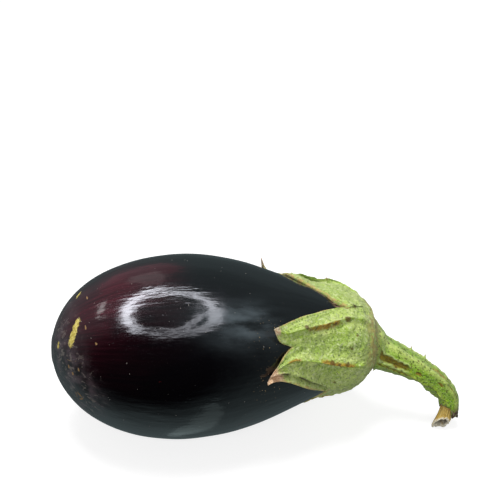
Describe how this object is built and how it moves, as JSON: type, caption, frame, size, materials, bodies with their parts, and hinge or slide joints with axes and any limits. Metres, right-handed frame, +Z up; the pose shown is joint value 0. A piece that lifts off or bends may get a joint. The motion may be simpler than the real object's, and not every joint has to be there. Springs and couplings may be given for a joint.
{
  "type": "eggplant",
  "caption": "Purple eggplant lying on its side, with a rounded glossy fruit, a lobed green calyx and a bent stem torn off at a woody core.",
  "frame": {"origin": "the middle of the small flat on the belly that the fruit rests on", "axes": "+Z up, away from the surface it lies on; +X from the blossom end to the stem end; the stem bends towards -Y"},
  "size_m": [0.1961, 0.088, 0.0872],
  "materials": {
    "fruit_skin": "glossy",
    "calyx_skin": "matte",
    "stem_bark": "matte",
    "stem_wood": "raw"
  },
  "bodies": {
    "root": {"fruit": "fruit_skin", "calyx": "calyx_skin", "stem": "stem_bark", "stem_core": "stem_wood"}
  },
  "joints": []
}
